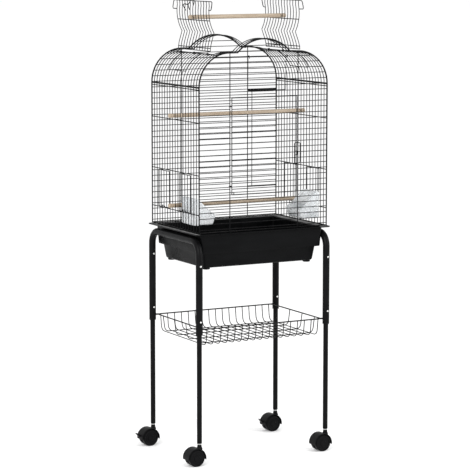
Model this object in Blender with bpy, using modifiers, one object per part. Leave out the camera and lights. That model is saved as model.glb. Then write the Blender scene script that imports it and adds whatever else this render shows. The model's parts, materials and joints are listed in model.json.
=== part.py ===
"""A bird cage with an opening roof, on a wheeled stand with a wire basket.

Metres, +Z up, +X to the right seen from the front, the front facing -Y. The origin is on the floor,
under the middle of the whole object. Everything is built about the middle of the cage, then moved by
CENTRING_X, because the casters trail to the left. Wires are four-sided rods, welded into one solid for
each panel, and each panel carries every second one of its infill wires. The front panel is in four flat
parts round its doorway.
"""

import bmesh
import bpy
import math
from mathutils import Matrix, Vector

GAP = 0.0003
CENTRING_X = 0.0212

# Cage
CAGE_WIDTH = 0.455
CAGE_DEPTH = 0.328
CAGE_FLOOR_Z = 0.732
SHOULDER_Z = 1.182
SHOULDER_RADIUS = 0.105
CUSP_X = 0.093
BUMP_RISE = 0.041
WIRE_PITCH = 0.01774
FIRST_WIRE_Z = 0.7401
SIDE_PITCH = CAGE_DEPTH / 18
WIRE_STEP = 2
WIRE_RADIUS = 0.0011
BORDER_RADIUS = 0.0022
STIFFENER_RADIUS = 0.0015
STIFFENER_X = 0.121
HALF_WIDTH = CAGE_WIDTH / 2
HALF_DEPTH = CAGE_DEPTH / 2
PLATEAU_Z = SHOULDER_Z + SHOULDER_RADIUS
SHOULDER_X = HALF_WIDTH - SHOULDER_RADIUS
BUMP_RADIUS = (CUSP_X**2 + BUMP_RISE**2) / (2 * BUMP_RISE)
BUMP_CENTRE_Z = PLATEAU_Z + BUMP_RISE - BUMP_RADIUS
TOP_WIRE = 32
SPLIT_WIRE = 24

# Front door, and the fixed frame of the back panel
DOOR_HALF_WIDTH = 0.1155
DOOR_BOTTOM_Z = 0.8465
DOOR_TOP_Z = 1.1481
DOOR_Y = -HALF_DEPTH - 0.004
LATCH_Y = DOOR_Y - 0.0032
DOOR_FRAME_RADIUS = 0.0014
DOOR_WIRES = (7, 22)
DOOR_EYE_Z = (0.8732, 1.1215)
BACK_FRAME_X = 0.137
BACK_FRAME_Z = (0.8288, 1.1445)

# Side panels and their feeder doors
SIDE_WIRES = 18
FEEDER_BOTTOM_Z = 0.787
FEEDER_TOP_Z = 0.910
SIDE_BAR_Z = (CAGE_FLOOR_Z, FEEDER_BOTTOM_Z, FEEDER_TOP_Z, 1.073, 1.1745)
FEEDER_WIRES = ((3, 7), (11, 15))
FEEDER_STANDOFF = 0.0034

# Roof
STRIP_WIRES = 2
STRIP_RADIUS = 0.0016
HINGE_X = 0.1595
HINGE_Z = SHOULDER_Z + math.sqrt(SHOULDER_RADIUS**2 - (HINGE_X - SHOULDER_X) ** 2)
HINGE_RADIUS = 0.002
RAIL_RADIUS = 0.003
FLAP_WIRES = (3, 15)
FLAP_OPEN = {-1: math.radians(73.3), 1: math.radians(69.5)}
FLAP_HINGE_CLEARANCE = 0.005
EAR_REACH = 0.022
EDGE_LIFT = 0.0042
EAR_DROP = 0.027
STAY_HALF_WIDTH = 0.059
STAY_END_ANGLE = math.radians(25)
HOOK_Y = 0.0048
HOOK_RADIUS = 0.0015
HOOK_MAIN = (
    (-0.013, -0.028),
    (-0.019, -0.012),
    (-0.012, -0.005),
    (-0.011, 0.0020),
    (-0.009, 0.0034),
    (0.001, 0.0034),
    (0.003, 0.0020),
    (0.003, -0.008),
    (-0.0010, -0.0165),
)
HOOK_TAIL = ((-0.019, -0.012), (-0.030, -0.009), (-0.036, -0.012), (-0.032, -0.020), (-0.026, -0.030))

# Perches, swing and cups
PERCH_RADIUS = 0.0068
PERCH_Y = SIDE_PITCH / 2
PERCHES = {"top_perch": (0.174, 1.392), "middle_perch": (0.246, 1.085), "lower_perch": (0.247, 0.801)}
SWING_WIRE = 30
SWING_X = (-0.054, 0.081)
SWING_BAR_X = (-0.045, 0.038)
SWING_Y = -HALF_DEPTH + 0.0062
SWING_BAR_Z = 1.1675
CUP_WIDTH = 0.088
CUP_DEPTH = 0.075
CUP_Y = -0.082
CUP_BOTTOM_Z = 0.7505
CUP_TOP_Z = 0.835
CUP_LIP_Z = 0.781
CUP_WALL = 0.002

# Base tray: half width, half depth and height of each ring of its outer surface, from the cage down
TRAY_RINGS = (
    (0.2395, 0.1725, 0.7278),
    (0.2395, 0.1725, 0.7250),
    (0.2165, 0.1580, 0.7225),
    (0.2135, 0.1540, 0.6640),
    (0.2020, 0.1410, 0.6615),
    (0.1965, 0.1355, 0.6220),
    (0.1930, 0.1320, 0.6175),
)
TRAY_CORNER = 0.009
TRAY_WALL = 0.0022
TRAY_FOOT_HEIGHT = 0.006
TRAY_BOW = 0.004

# Stand
LEG_X = 0.228
LEG_Y = 0.1645
FRAME_TUBE_RADIUS = 0.011
FRAME_RAIL_Z = 0.705
FRAME_BEND = 0.042
FRAME_BOTTOM_Z = 0.413
LEG_RADIUS = 0.008
LEG_BOTTOM_Z = 0.070
SCREW_Z = (0.630, 0.455)
SCREW_RADIUS = 0.0032
SCREW_HEIGHT = 0.0022

# Basket
BASKET_HALF_X = 0.212
BASKET_HALF_Y = 0.163
BASKET_RIM_Z = 0.430
BASKET_FLOOR_Z = 0.377
BASKET_RIM_RADIUS = 0.0021
BASKET_WIRE_RADIUS = 0.0015
BASKET_PITCH = 0.025
BASKET_SHORT_WIRES = 17
BASKET_CORNER = 0.012
BASKET_INSET = 0.007
BASKET_LONG_Y = (-0.12, -0.04, 0.04, 0.12)

# Casters
WHEEL_RADIUS = 0.0265
WHEEL_WIDTH = 0.0165
WHEEL_GAP = 0.0075
CASTER_TRAIL = 0.017
HOOD_RADIUS = 0.0315
HOOD_WALL = 0.0025
WEB_WIDTH = 0.006
AXLE_RADIUS = 0.004
STEM_RADIUS = 0.0065
COLLAR_HEIGHT = 0.003


# ---------------------------------------------------------------- scene helpers


def clear_scene():
    for item in list(bpy.data.objects):
        bpy.data.objects.remove(item, do_unlink=True)


def new_collection(name):
    collection = bpy.data.collections.new(name)
    bpy.context.scene.collection.children.link(collection)
    return collection


def make_material(name, colour, roughness, metallic=0.0):
    material = bpy.data.materials.new(name)
    material.use_nodes = True
    shader = material.node_tree.nodes["Principled BSDF"]
    shader.inputs["Base Color"].default_value = (*colour, 1.0)
    shader.inputs["Roughness"].default_value = roughness
    shader.inputs["Metallic"].default_value = metallic
    return material


clear_scene()
OBJECT = new_collection("bird_cage_on_stand")
HELPERS = new_collection("helpers")
BLACK_STEEL = make_material("black_steel", (0.012, 0.012, 0.013), 0.35, 0.1)
BLACK_PLASTIC = make_material("black_plastic", (0.014, 0.015, 0.016), 0.42)
SILVER = make_material("zinc", (0.72, 0.72, 0.70), 0.3, 1.0)
WOOD = make_material("wood", (0.42, 0.33, 0.24), 0.7)
CLEAR_PLASTIC = make_material("clear_plastic", (0.86, 0.88, 0.89), 0.25)


def place(name, mesh, material, helper=False):
    made = bpy.data.objects.new(name, mesh)
    mesh.materials.clear()
    mesh.materials.append(material)
    (HELPERS if helper else OBJECT).objects.link(made)
    if helper:
        made.hide_render = True
        made.display_type = "WIRE"
    return made


def mesh_from(name, build):
    """A mesh that the function build makes in a bmesh."""
    mesh = bpy.data.meshes.new(name)
    work = bmesh.new()
    build(work)
    bmesh.ops.recalc_face_normals(work, faces=work.faces)
    work.to_mesh(mesh)
    work.free()
    return mesh


def rods(name, paths, radius, material=BLACK_STEEL, helper=False, closed=False, resolution=0):
    """Separate rods of one radius along paths, as a welded mesh."""
    data = bpy.data.curves.new(name + "_path", "CURVE")
    data.dimensions = "3D"
    data.bevel_depth = radius
    data.bevel_resolution = resolution
    data.use_fill_caps = True
    for path in paths:
        spline = data.splines.new("POLY")
        spline.points.add(len(path) - 1)
        for point, place_at in zip(spline.points, path):
            point.co = (*place_at, 1.0)
        spline.use_cyclic_u = closed
    guide = bpy.data.objects.new(name + "_path", data)
    HELPERS.objects.link(guide)
    bpy.context.view_layer.update()
    evaluated = guide.evaluated_get(bpy.context.evaluated_depsgraph_get())
    mesh = bpy.data.meshes.new_from_object(evaluated)
    bpy.data.objects.remove(guide, do_unlink=True)
    work = bmesh.new()
    work.from_mesh(mesh)
    bmesh.ops.remove_doubles(work, verts=work.verts, dist=1e-6)
    bmesh.ops.recalc_face_normals(work, faces=work.faces)
    work.to_mesh(mesh)
    work.free()
    return place(name, mesh, material, helper)


def boolean(target, other, operation):
    modifier = target.modifiers.new(other.name, "BOOLEAN")
    modifier.operation = operation
    modifier.solver = "EXACT"
    modifier.object = other


def join_rods(name, main, groups, material=BLACK_STEEL):
    """One solid from groups of rods. main and each group are (paths, radius, closed)."""
    target = rods(name, main[0], main[1], material, closed=main[2])
    for number, (paths, radius, closed) in enumerate(groups):
        helper = rods(f"{name}_rods_{number}", paths, radius, material, helper=True, closed=closed)
        boolean(target, helper, "UNION")
    return target


def cylinder(name, centre, axis, radius, length, material, helper=False, sides=16, top_radius=None):
    """A cylinder or cone about the given middle point, along the given axis."""
    turn = Vector((0, 0, 1)).rotation_difference(Vector(axis)).to_matrix().to_4x4()

    def build(work):
        bmesh.ops.create_cone(
            work,
            cap_ends=True,
            segments=sides,
            radius1=radius,
            radius2=radius if top_radius is None else top_radius,
            depth=length,
            matrix=Matrix.Translation(centre) @ turn,
        )

    made = place(name, mesh_from(name, build), material, helper)
    made.data.shade_smooth()
    made.data.set_sharp_from_angle(angle=math.radians(40))
    return made


def box(name, low, high, material, helper=False):
    size = [b - a for a, b in zip(low, high)]
    middle = [(a + b) / 2 for a, b in zip(low, high)]

    def build(work):
        bmesh.ops.create_cube(work, size=1.0, matrix=Matrix.Translation(middle) @ Matrix.Diagonal((*size, 1.0)))

    return place(name, mesh_from(name, build), material, helper)


def prism(name, outline, y_low, y_high, material, helper=False):
    """An outline of (x, z) points, extruded along Y."""

    def build(work):
        face = work.faces.new([work.verts.new((x, y_low, z)) for x, z in outline])
        made = bmesh.ops.extrude_face_region(work, geom=[face])
        moved = [item for item in made["geom"] if isinstance(item, bmesh.types.BMVert)]
        bmesh.ops.translate(work, verts=moved, vec=(0, y_high - y_low, 0))

    return place(name, mesh_from(name, build), material, helper)


# ---------------------------------------------------------------- cage profile


def arc(centre_x, centre_z, radius, start, end, steps):
    """(x, z) points along an arc, its angles in radians from +X."""
    points = []
    for step in range(steps + 1):
        angle = start + (end - start) * step / steps
        points.append((centre_x + radius * math.cos(angle), centre_z + radius * math.sin(angle)))
    return points


def roof_profile(steps=5, bump_steps=8):
    """(x, z) points over the roof, from the left shoulder's foot to the right one's."""
    half_angle = math.asin(CUSP_X / BUMP_RADIUS)
    left = arc(-SHOULDER_X, SHOULDER_Z, SHOULDER_RADIUS, math.pi, math.pi / 2, steps)
    bump = arc(0, BUMP_CENTRE_Z, BUMP_RADIUS, math.pi / 2 + half_angle, math.pi / 2 - half_angle, bump_steps)
    right = [(-x, z) for x, z in reversed(left)]
    return left + bump + right


def wire_z(number):
    return FIRST_WIRE_Z + WIRE_PITCH * number


def side_wire_y(number):
    return -HALF_DEPTH + SIDE_PITCH * number


def half_width_at(z):
    """Half the panel's width at a height."""
    if z <= SHOULDER_Z:
        return HALF_WIDTH
    if z <= PLATEAU_Z:
        return SHOULDER_X + math.sqrt(SHOULDER_RADIUS**2 - (z - SHOULDER_Z) ** 2)
    return math.sqrt(BUMP_RADIUS**2 - (z - BUMP_CENTRE_Z) ** 2)


# ---------------------------------------------------------------- cage panels


def end_panel(name, y, low_z, first_wire, extra=()):
    """An upright panel below the lobed roof line: a closed border, two uprights and level wires."""
    outline = [(-HALF_WIDTH, low_z)] + roof_profile() + [(HALF_WIDTH, low_z)]
    border = [(x, y, z) for x, z in outline]
    level = []
    for number in range(first_wire, TOP_WIRE + 1, WIRE_STEP):
        z = wire_z(number)
        reach = half_width_at(z)
        level.append([(-reach, y, z), (reach, y, z)])
    post_y = y + math.copysign(STIFFENER_RADIUS, y)
    uprights = [[(x, post_y, low_z), (x, post_y, PLATEAU_Z)] for x in (-STIFFENER_X, STIFFENER_X)]
    groups = [(level, WIRE_RADIUS, False), (uprights, STIFFENER_RADIUS, False), *extra]
    return join_rods(name, ([border], BORDER_RADIUS, True), groups)


def front_side(name, side):
    """The front panel beside the doorway: its border, the upright next to the door, and level wires."""
    y = -HALF_DEPTH
    post_x = side * STIFFENER_X
    post_y = y - STIFFENER_RADIUS
    top_z = wire_z(SPLIT_WIRE) - BORDER_RADIUS - 2 * GAP
    border = [
        (post_x - side * STIFFENER_RADIUS, y, CAGE_FLOOR_Z),
        (side * HALF_WIDTH, y, CAGE_FLOOR_Z),
        (side * HALF_WIDTH, y, top_z),
    ]
    upright = [(post_x, post_y, CAGE_FLOOR_Z), (post_x, post_y, top_z)]
    level = []
    for number in range(0, SPLIT_WIRE, WIRE_STEP):
        level.append([(post_x, y, wire_z(number)), (side * HALF_WIDTH, y, wire_z(number))])
    groups = [(level, WIRE_RADIUS, False), ([upright], STIFFENER_RADIUS, False)]
    join_rods(name, ([border], BORDER_RADIUS, False), groups)


def front_bottom():
    """The front panel below the doorway, ending just short of the two uprights."""
    y = -HALF_DEPTH
    half = STIFFENER_X - STIFFENER_RADIUS - 0.0017
    top_wire = DOOR_WIRES[0] - 1
    border = [(-half, y, CAGE_FLOOR_Z), (half, y, CAGE_FLOOR_Z)]
    level = []
    for number in range(0, top_wire + 1, WIRE_STEP):
        level.append([(-half, y, wire_z(number)), (half, y, wire_z(number))])
    links = []
    for x in (0.002 - half, half - 0.002):
        links.append([(x, y - 0.0008, CAGE_FLOOR_Z), (x, y - 0.0008, wire_z(top_wire) + 0.0005)])
    groups = [(level, WIRE_RADIUS, False), (links, WIRE_RADIUS, False)]
    join_rods("front_panel_bottom", ([border], BORDER_RADIUS, False), groups)


def back_panel():
    """The back panel, with the fixed frame beside its right upright."""
    low, high = BACK_FRAME_Z
    frame = [
        [(STIFFENER_X, HALF_DEPTH, high), (HALF_WIDTH, HALF_DEPTH, high)],
        [(STIFFENER_X, HALF_DEPTH, low), (HALF_WIDTH, HALF_DEPTH, low)],
    ]
    upright = [[(BACK_FRAME_X, HALF_DEPTH + 0.001, low), (BACK_FRAME_X, HALF_DEPTH + 0.001, high)]]
    extra = [(frame, 0.0026, False), (upright, 0.0012, False)]
    end_panel("back_panel", HALF_DEPTH, CAGE_FLOOR_Z, 0, extra)


def feeder_cut(number):
    """True for an upright wire that a feeder doorway interrupts."""
    return any(low < number < high for low, high in FEEDER_WIRES)


def side_panel(name, side):
    """A side panel: upright wires from the floor to the shoulder, and bars along Y inside them."""
    x = side * HALF_WIDTH
    upright = []
    top = SIDE_BAR_Z[-1]
    for number in range(1, SIDE_WIRES, WIRE_STEP):
        y = side_wire_y(number)
        if feeder_cut(number):
            upright.append([(x, y, CAGE_FLOOR_Z), (x, y, FEEDER_BOTTOM_Z)])
            upright.append([(x, y, FEEDER_TOP_Z), (x, y, top)])
        else:
            upright.append([(x, y, CAGE_FLOOR_Z), (x, y, top)])
    reach = HALF_DEPTH - BORDER_RADIUS - 2 * GAP
    inside = x - side * 0.0012
    bars = [[(inside, -reach, z), (inside, reach, z)] for z in SIDE_BAR_Z]
    join_rods(name, (bars, STIFFENER_RADIUS, False), [(upright, WIRE_RADIUS, False)])


def feeder_door(name, side, wires):
    """A feeder door: a wire frame that slides up outside its doorway."""
    x = side * (HALF_WIDTH + FEEDER_STANDOFF)
    low_y = side_wire_y(wires[0]) - 0.002
    high_y = side_wire_y(wires[1]) + 0.002
    low_z = FEEDER_BOTTOM_Z + 0.003
    high_z = FEEDER_TOP_Z - 0.003
    frame = [(x, low_y, low_z), (x, high_y, low_z), (x, high_y, high_z), (x, low_y, high_z)]
    middle = (low_y + high_y) / 2
    bars = [[(x, middle, low_z), (x, middle, high_z)]]
    join_rods(name, ([frame], 0.0013, True), [(bars, WIRE_RADIUS, False)])


def front_door():
    """The front door: a wire frame with level wires, and two eyes round the left upright."""
    y = DOOR_Y
    half = DOOR_HALF_WIDTH
    frame = [(-half, y, DOOR_BOTTOM_Z), (half, y, DOOR_BOTTOM_Z), (half, y, DOOR_TOP_Z), (-half, y, DOOR_TOP_Z)]
    level = []
    for number in range(DOOR_WIRES[0] + 1, DOOR_WIRES[1] + 1, WIRE_STEP):
        level.append([(-half, y, wire_z(number)), (half, y, wire_z(number))])
    door = join_rods("front_door", ([frame], DOOR_FRAME_RADIUS, True), [(level, WIRE_RADIUS, False)])
    for number, z in enumerate(DOOR_EYE_Z):
        centre = (-STIFFENER_X, -HALF_DEPTH - STIFFENER_RADIUS, z)
        tongue = box(
            f"door_tongue_{number}",
            (-STIFFENER_X + 0.0021, y - 0.0009, z - 0.002),
            (-half, y + 0.0011, z + 0.002),
            BLACK_STEEL,
            helper=True,
        )
        boolean(door, tongue, "UNION")
        eye = cylinder(f"door_eye_{number}", centre, (0, 0, 1), 0.0036, 0.006, BLACK_STEEL, True, 10)
        boolean(door, eye, "UNION")
        hole = cylinder(f"door_eye_hole_{number}", centre, (0, 0, 1), 0.0022, 0.02, BLACK_STEEL, True, 10)
        boolean(door, hole, "DIFFERENCE")


def door_latch():
    """A sliding wire loop on the front of the door, reaching over the right upright."""
    y = LATCH_Y
    loop = [(0.106, y, 0.936), (0.1262, y, 0.936), (0.1262, y, 1.000), (0.106, y, 1.000)]
    rods("door_latch", [loop], 0.0012, closed=True)


# ---------------------------------------------------------------- roof


def shoulder_grille(name, side):
    """One shoulder: a rail over the side panel, curved wires, and the hinge rod they carry."""
    reach = HALF_DEPTH - BORDER_RADIUS - 2 * GAP
    rail = [[(side * HALF_WIDTH, -reach, SHOULDER_Z), (side * HALF_WIDTH, reach, SHOULDER_Z)]]
    rod_y = HALF_DEPTH - SIDE_PITCH * STRIP_WIRES - STRIP_RADIUS - GAP
    hinge_rod = [[(side * HINGE_X, -rod_y, HINGE_Z), (side * HINGE_X, rod_y, HINGE_Z)]]
    start = math.atan2(HINGE_Z - SHOULDER_Z, HINGE_X - SHOULDER_X)
    shoulder = arc(SHOULDER_X, SHOULDER_Z, SHOULDER_RADIUS, 0, start, 4)
    wires = []
    for number in range(FLAP_WIRES[0], FLAP_WIRES[1] + 1, WIRE_STEP):
        wires.append([(side * x, side_wire_y(number), z) for x, z in shoulder])
    groups = [(hinge_rod, HINGE_RADIUS, False), (wires, WIRE_RADIUS, False)]
    join_rods(name, (rail, RAIL_RADIUS, False), groups)


def roof_strip(name, side):
    """The fixed wire over the roof in front of or behind the flaps, from shoulder rail to shoulder rail."""
    y = side * (HALF_DEPTH - SIDE_PITCH * STRIP_WIRES)
    path = [(x, y, z) for x, z in roof_profile(5, 8)]
    lift = RAIL_RADIUS + 2 * GAP
    path[0] = (path[0][0], y, path[0][2] + lift)
    path[-1] = (path[-1][0], y, path[-1][2] + lift)
    rods(name, [path], STRIP_RADIUS)


def flap_profile(turn, steps=2, bump_steps=4):
    """(x, z) points of the left flap opened by an angle, from its foot to its free edge."""
    foot_angle = math.atan2(HINGE_Z - SHOULDER_Z, SHOULDER_X - HINGE_X)
    half_angle = math.asin(CUSP_X / BUMP_RADIUS)
    closed = arc(-SHOULDER_X, SHOULDER_Z, SHOULDER_RADIUS, foot_angle, math.pi / 2, steps)
    closed += arc(0, BUMP_CENTRE_Z, BUMP_RADIUS, math.pi / 2 + half_angle, math.pi / 2 + 0.03, bump_steps)
    opened = []
    for x, z in closed[1:]:
        dx, dz = x + HINGE_X, z - HINGE_Z
        turned_x = dx * math.cos(turn) - dz * math.sin(turn)
        turned_z = dx * math.sin(turn) + dz * math.cos(turn)
        opened.append((turned_x - HINGE_X, turned_z + HINGE_Z))
    first = Vector((opened[0][0] + HINGE_X, opened[0][1] - HINGE_Z)).normalized() * FLAP_HINGE_CLEARANCE
    return [(first.x - HINGE_X, first.y + HINGE_Z)] + opened


def point_at_height(profile, z):
    """The x of a profile at a height."""
    for (x0, z0), (x1, z1) in zip(profile, profile[1:]):
        if z0 <= z <= z1:
            return x0 + (x1 - x0) * (z - z0) / (z1 - z0)
    return profile[-1][0]


def roof_flap(name, side):
    """A roof flap standing open, with wires up its height, bars along Y and two eyes on the hinge rod."""
    profile = [(-side * x, z) for x, z in flap_profile(FLAP_OPEN[side])]
    lift = side * EDGE_LIFT
    top_x, top_z = profile[-1][0] + lift, profile[-1][1]
    wires = []
    for number in range(FLAP_WIRES[0], FLAP_WIRES[1] + 1, WIRE_STEP):
        wires.append([(x, side_wire_y(number), z) for x, z in profile[:-1] + [(top_x, top_z)]])
    edge_y = side_wire_y(FLAP_WIRES[1])
    foot_x, foot_z = profile[0]
    perch_bar_z = PERCHES["top_perch"][1] - PERCH_RADIUS - 2 * GAP - WIRE_RADIUS
    bar_x = point_at_height(profile, perch_bar_z)
    bars = [
        [(foot_x, -edge_y, foot_z), (foot_x, edge_y, foot_z)],
        [(bar_x, -edge_y, perch_bar_z), (bar_x, edge_y, perch_bar_z)],
    ]
    ear_y = edge_y + EAR_REACH
    ear_z = top_z - EAR_DROP
    ear_x = point_at_height(profile[:-1] + [(top_x, top_z)], ear_z)
    low_x = point_at_height(profile, ear_z) + lift
    half_top = [
        (ear_x, edge_y, ear_z),
        (low_x, edge_y + 0.005, ear_z),
        (low_x, ear_y - 0.006, ear_z),
        (low_x, ear_y, ear_z + 0.007),
        (top_x, ear_y, top_z - 0.007),
        (top_x, ear_y - 0.006, top_z),
    ]
    top = [(x, -y, z) for x, y, z in half_top] + half_top[::-1]
    flap = join_rods(
        name, (wires, WIRE_RADIUS, False), [(bars, WIRE_RADIUS * 1.15, False), ([top], 0.0014, False)]
    )
    hinge = Vector((side * HINGE_X, 0, HINGE_Z))
    for number, wire in enumerate((4, 14)):
        centre = hinge + Vector((0, side_wire_y(wire), 0))
        tongue = box(
            f"{name}_tongue_{number}",
            (foot_x - 0.0012, centre.y - 0.002, HINGE_Z + 0.0029),
            (foot_x + 0.0012, centre.y + 0.002, foot_z),
            BLACK_STEEL,
            helper=True,
        )
        boolean(flap, tongue, "UNION")
        eye = cylinder(f"{name}_eye_{number}", centre, (0, 1, 0), 0.0042, 0.006, BLACK_STEEL, True, 10)
        boolean(flap, eye, "UNION")
        hole = cylinder(f"{name}_hole_{number}", centre, (0, 1, 0), 0.0027, 0.02, BLACK_STEEL, True, 10)
        boolean(flap, hole, "DIFFERENCE")


def flap_stay(name, side):
    """A U of wire that carries on from the open flap's foot and rests on the outside of the shoulder."""
    lift = WIRE_RADIUS * 2 + GAP * 2
    start = math.atan2(HINGE_Z - SHOULDER_Z, HINGE_X - SHOULDER_X) - math.radians(4)
    curve = arc(SHOULDER_X, SHOULDER_Z, SHOULDER_RADIUS + lift, start, STAY_END_ANGLE, 3)
    half = STAY_HALF_WIDTH
    path = [(side * x, -half, z) for x, z in curve] + [(side * x, half, z) for x, z in reversed(curve)]
    rods(name, [path], WIRE_RADIUS)


def flap_latch():
    """A wire hook on the left flap's free edge."""
    top_x, top_z = flap_profile(FLAP_OPEN[-1])[-1]
    y = HOOK_Y

    def bent(steps):
        return [(top_x + dx, y, top_z + dz) for dx, dz in steps]

    groups = [([bent(HOOK_TAIL)], HOOK_RADIUS, False)]
    join_rods("flap_latch", ([bent(HOOK_MAIN)], HOOK_RADIUS, False), groups)


# ---------------------------------------------------------------- furniture


def perches():
    for name, (half, z) in PERCHES.items():
        cylinder(name, (0, PERCH_Y, z), (1, 0, 0), PERCH_RADIUS, 2 * half, WOOD, sides=12)


def swing():
    """The swing: a wire frame hooked over a wire of the front panel, and its bar."""
    z = wire_z(SWING_WIRE)
    y = -HALF_DEPTH

    def hook(x):
        return [
            (x, y - 0.0045, z - 0.005),
            (x, y - 0.0045, z + 0.0022),
            (x, y - 0.002, z + 0.0042),
            (x, y + 0.002, z + 0.0042),
            (x, y + 0.0045, z + 0.0022),
        ]

    left, right = SWING_X
    path = hook(left) + [(left, SWING_Y, SWING_BAR_Z), (right, SWING_Y, SWING_BAR_Z)] + hook(right)[::-1]
    rods("swing_frame", [path], 0.001)
    start, end = SWING_BAR_X
    bar = cylinder(
        "swing_bar",
        ((start + end) / 2, SWING_Y, SWING_BAR_Z),
        (1, 0, 0),
        0.0038,
        end - start,
        BLACK_PLASTIC,
        sides=10,
    )
    bore = cylinder("swing_bore", (0, SWING_Y, SWING_BAR_Z), (1, 0, 0), 0.0018, 0.3, BLACK_PLASTIC, True, 8)
    boolean(bar, bore, "DIFFERENCE")


def seed_cup(name, side):
    """A hooded seed cup against the inside of a side panel, open towards the middle of the cage."""
    back = HALF_WIDTH - 0.0040
    front = back - CUP_DEPTH
    outline = [
        (back, CUP_BOTTOM_Z),
        (back, CUP_TOP_Z),
        (back - 0.012, CUP_TOP_Z),
        (front, CUP_LIP_Z),
        (front + 0.012, CUP_BOTTOM_Z),
    ]
    low_y = CUP_Y - CUP_WIDTH / 2
    high_y = CUP_Y + CUP_WIDTH / 2
    cup = prism(name, [(side * x, z) for x, z in outline], low_y, high_y, CLEAR_PLASTIC)
    mouth = [
        (back - CUP_WALL, CUP_BOTTOM_Z + CUP_WALL),
        (back - CUP_WALL, CUP_TOP_Z - CUP_WALL),
        (back - 0.013, CUP_TOP_Z - CUP_WALL),
        (front + 0.020, CUP_LIP_Z + 0.0105),
        (front - 0.010, CUP_LIP_Z + 0.030),
        (front - 0.010, CUP_LIP_Z - 0.004),
        (front + 0.0035, CUP_LIP_Z - 0.004),
        (front + 0.0135, CUP_BOTTOM_Z + CUP_WALL),
    ]
    hollow = prism(
        name + "_hollow",
        [(side * x, z) for x, z in mouth],
        low_y + CUP_WALL,
        high_y - CUP_WALL,
        CLEAR_PLASTIC,
        helper=True,
    )
    boolean(cup, hollow, "DIFFERENCE")


# ---------------------------------------------------------------- base tray


def rounded_ring(half_x, half_y, radius, z, steps=2):
    """Points round a rectangle with rounded corners."""
    points = []
    for quarter, (sx, sy) in enumerate(((1, 1), (-1, 1), (-1, -1), (1, -1))):
        for step in range(steps + 1):
            angle = math.radians(90 * quarter + 90 * step / steps)
            x = sx * (half_x - radius) + radius * math.cos(angle)
            y = sy * (half_y - radius) + radius * math.sin(angle)
            points.append((x, y, z))
    return points


def base_tray():
    """The deep tray: a sheet through its rings, closed below, thickened inwards, with four feet."""

    def build(work):
        rings = []
        for half_x, half_y, z in TRAY_RINGS:
            rings.append([work.verts.new(p) for p in rounded_ring(half_x, half_y, TRAY_CORNER, z)])
        count = len(rings[0])
        for upper, lower in zip(rings, rings[1:]):
            for index in range(count):
                after = (index + 1) % count
                work.faces.new((upper[index], lower[index], lower[after], upper[after]))
        low = TRAY_RINGS[-1][2] - TRAY_BOW
        work.faces.new([work.verts.new((v.co.x * 0.55, v.co.y * 0.55, low)) for v in rings[-1]])
        inner = list(work.verts)[-count:]
        for index in range(count):
            after = (index + 1) % count
            work.faces.new((rings[-1][index], inner[index], inner[after], rings[-1][after]))

    tray = place("base_tray", mesh_from("base_tray", build), BLACK_PLASTIC)
    wall = tray.modifiers.new("wall", "SOLIDIFY")
    wall.thickness = TRAY_WALL
    wall.offset = -1
    bottom = TRAY_RINGS[-1]
    for number, (sx, sy) in enumerate(((1, 1), (-1, 1), (-1, -1), (1, -1))):
        x = sx * (bottom[0] - 0.012)
        y = sy * (bottom[1] - 0.012)
        foot = cylinder(
            f"tray_foot_{number}",
            (x, y, bottom[2] - TRAY_FOOT_HEIGHT / 2 + 0.0005),
            (0, 0, 1),
            0.012,
            TRAY_FOOT_HEIGHT + 0.001,
            BLACK_PLASTIC,
            helper=True,
            sides=10,
            top_radius=0.0125,
        )
        boolean(tray, foot, "UNION")


# ---------------------------------------------------------------- stand


def stand_frame(name, side):
    """One side's upper tube: an upside-down U over both legs of that side."""
    x = side * LEG_X
    path = [(x, -LEG_Y, FRAME_BOTTOM_Z)]
    steps = 5
    for sign in (-1, 1):
        centre_y = sign * (LEG_Y - FRAME_BEND)
        centre_z = FRAME_RAIL_Z - FRAME_BEND
        for step in range(steps + 1):
            share = step / steps if sign < 0 else 1 - step / steps
            angle = math.pi / 2 * share
            path.append((x, centre_y + sign * FRAME_BEND * math.cos(angle), centre_z + FRAME_BEND * math.sin(angle)))
    path.append((x, LEG_Y, FRAME_BOTTOM_Z))
    tube = rods(name, [path], FRAME_TUBE_RADIUS, resolution=2)
    tube.data.shade_smooth()
    tube.data.set_sharp_from_angle(angle=math.radians(60))


def lower_leg(name, sx, sy):
    """A thinner leg tube, plugged below the upper one."""
    top = FRAME_BOTTOM_Z - GAP
    middle = (LEG_BOTTOM_Z + top) / 2
    cylinder(name, (sx * LEG_X, sy * LEG_Y, middle), (0, 0, 1), LEG_RADIUS, top - LEG_BOTTOM_Z, BLACK_STEEL, sides=12)


def leg_screw(name, sx, sy, z):
    """A screw head on the front of a leg."""
    y = sy * LEG_Y - FRAME_TUBE_RADIUS - GAP - SCREW_HEIGHT / 2
    cylinder(name, (sx * LEG_X, y, z), (0, 1, 0), SCREW_RADIUS, SCREW_HEIGHT, SILVER, sides=8)


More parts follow.
